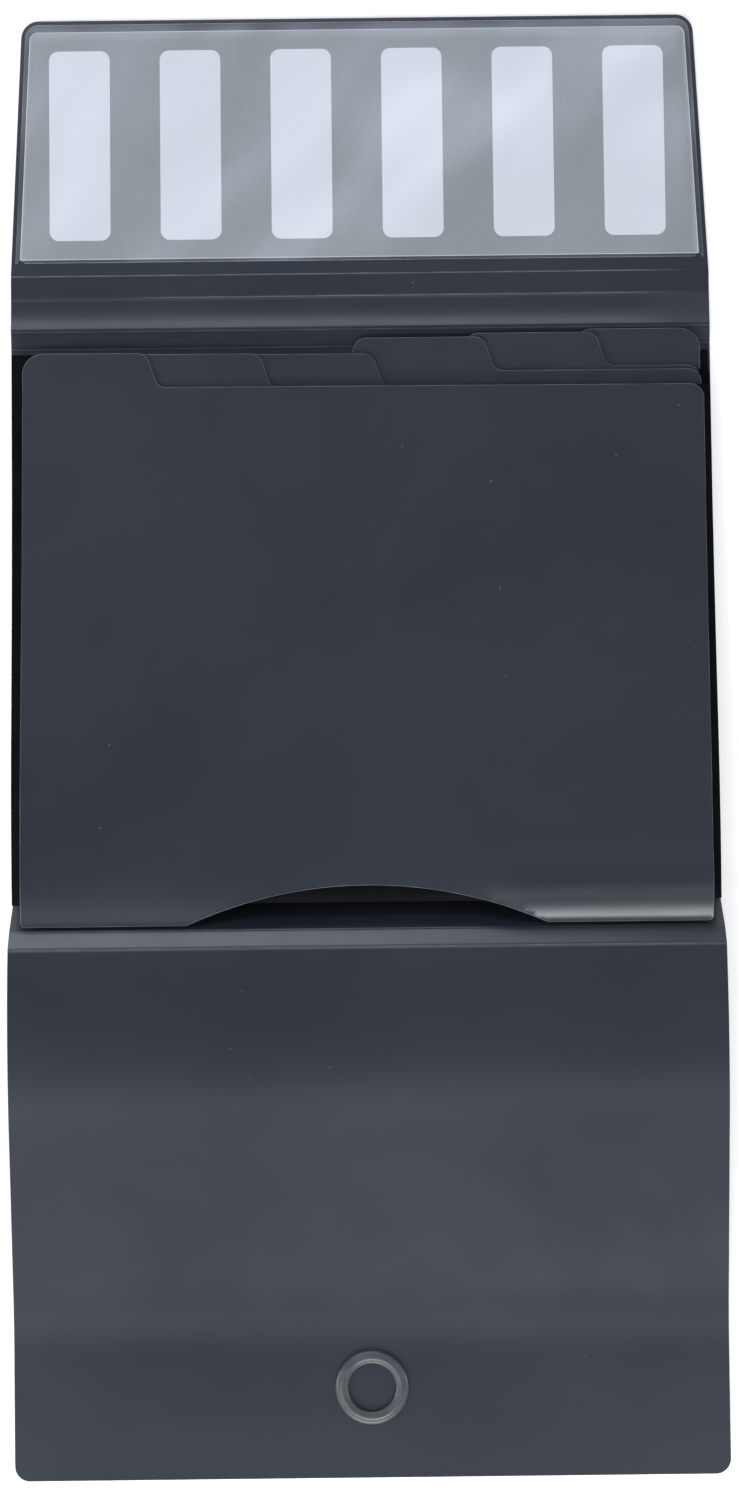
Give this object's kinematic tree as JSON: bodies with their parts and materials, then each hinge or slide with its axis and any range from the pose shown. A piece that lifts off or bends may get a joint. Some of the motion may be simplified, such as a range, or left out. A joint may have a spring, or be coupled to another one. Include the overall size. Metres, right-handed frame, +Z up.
{
  "type": "expanding file",
  "caption": "Flat expanding file laid open: creased plastic cover with flap, label pouch and round closure around a fanning stack of tabbed dividers.",
  "frame": {"origin": "centre of the back panel's underside, on the table", "axes": "+X across the file to the right, +Y from the front panel to the flap, +Z up out of the open cover"},
  "size_m": [0.33, 0.6853, 0.0282],
  "materials": {
    "cover": "satin polypropylene sheet, dark slate navy",
    "divider": "satin polypropylene sheet, dark slate",
    "film": "soft black polypropylene film",
    "closure": "moulded grey plastic, semi-gloss",
    "clear_film": "clear glossy film",
    "card": "grey card, matte",
    "label": "white writing paper"
  },
  "bodies": {
    "back": {"back_panel": "cover", "back_film": "film"},
    "spine_lower": {"bottom_spine_lower": "cover"},
    "spine_upper": {"bottom_spine_upper": "cover"},
    "front": {"front_panel": "cover", "closure_ring": "closure"},
    "top_1": {"top_spine_band_1": "cover"},
    "top_2": {"top_spine_band_2": "cover"},
    "top_3": {"top_spine_band_3": "cover"},
    "flap": {"flap": "cover", "label_pouch": "clear_film", "closure_stud": "closure"},
    "card": {"index_card": "card", "index_label_1": "label", "index_label_2": "label", "index_label_3": "label", "index_label_4": "label", "index_label_5": "label", "index_label_6": "label"},
    "leaf_6": {"divider_6": "divider", "gusset_6": "film"},
    "leaf_5": {"divider_5": "divider", "gusset_5": "film"},
    "leaf_4": {"divider_4": "divider", "gusset_4": "film"},
    "leaf_3": {"divider_3": "divider", "gusset_3": "film"},
    "leaf_2": {"divider_2": "divider", "gusset_2": "film"},
    "leaf_1": {"divider_1": "divider", "gusset_1": "film"}
  },
  "joints": [
    {"name": "spine_lower_crease", "type": "hinge", "parent": "back", "child": "spine_lower", "pos_m": [0, -0.1305, 0.0008], "axis": [1, 0, 0], "range_deg": [-3, 0]},
    {"name": "spine_upper_crease", "type": "hinge", "parent": "spine_lower", "child": "spine_upper", "pos_m": [0, -0.1446, 0.01885], "axis": [1, 0, 0], "range_deg": [-48, 0]},
    {"name": "front_panel_crease", "type": "hinge", "parent": "spine_upper", "child": "front", "pos_m": [0, -0.15291, 0.02558], "axis": [1, 0, 0], "range_deg": [-134.1, 0]},
    {"name": "top_spine_crease_1", "type": "hinge", "parent": "back", "child": "top_1", "pos_m": [0, 0.1305, 0.0008], "axis": [-1, 0, 0], "range_deg": [-15, 0]},
    {"name": "top_spine_crease_2", "type": "hinge", "parent": "top_1", "child": "top_2", "pos_m": [0, 0.13842, 0.00292], "axis": [-1, 0, 0], "range_deg": [-69.3, 0]},
    {"name": "top_spine_crease_3", "type": "hinge", "parent": "top_2", "child": "top_3", "pos_m": [0, 0.15477, 0.00169], "axis": [-1, 0, 0], "range_deg": [-18.5, 0]},
    {"name": "flap_crease", "type": "hinge", "parent": "top_3", "child": "flap", "pos_m": [0, 0.16527, 0.0021], "axis": [-1, 0, 0], "range_deg": [-77.6, 0]},
    {"name": "index_card_slide", "type": "slide", "parent": "flap", "child": "card", "axis": [0, -1, 0], "range_m": [0, 0.014]},
    {"name": "pocket_6_fan", "type": "hinge", "parent": "back", "child": "leaf_6", "pos_m": [0, -0.1425, 0.0182], "axis": [1, 0, 0], "range_deg": [0, 5.5], "deforming": ["gusset_6"]},
    {"name": "pocket_5_fan", "type": "hinge", "parent": "leaf_6", "child": "leaf_5", "pos_m": [0, -0.1425, 0.0182], "axis": [1, 0, 0], "range_deg": [0, 5.5], "deforming": ["gusset_5"]},
    {"name": "pocket_4_fan", "type": "hinge", "parent": "leaf_5", "child": "leaf_4", "pos_m": [0, -0.1425, 0.0182], "axis": [1, 0, 0], "range_deg": [0, 5.5], "deforming": ["gusset_4"]},
    {"name": "pocket_3_fan", "type": "hinge", "parent": "leaf_4", "child": "leaf_3", "pos_m": [0, -0.1425, 0.0182], "axis": [1, 0, 0], "range_deg": [0, 5.5], "deforming": ["gusset_3"]},
    {"name": "pocket_2_fan", "type": "hinge", "parent": "leaf_3", "child": "leaf_2", "pos_m": [0, -0.1425, 0.0182], "axis": [1, 0, 0], "range_deg": [0, 5.5], "deforming": ["gusset_2"]},
    {"name": "pocket_1_fan", "type": "hinge", "parent": "leaf_2", "child": "leaf_1", "pos_m": [0, -0.1425, 0.0182], "axis": [1, 0, 0], "range_deg": [0, 5.5], "deforming": ["gusset_1"]}
  ]
}
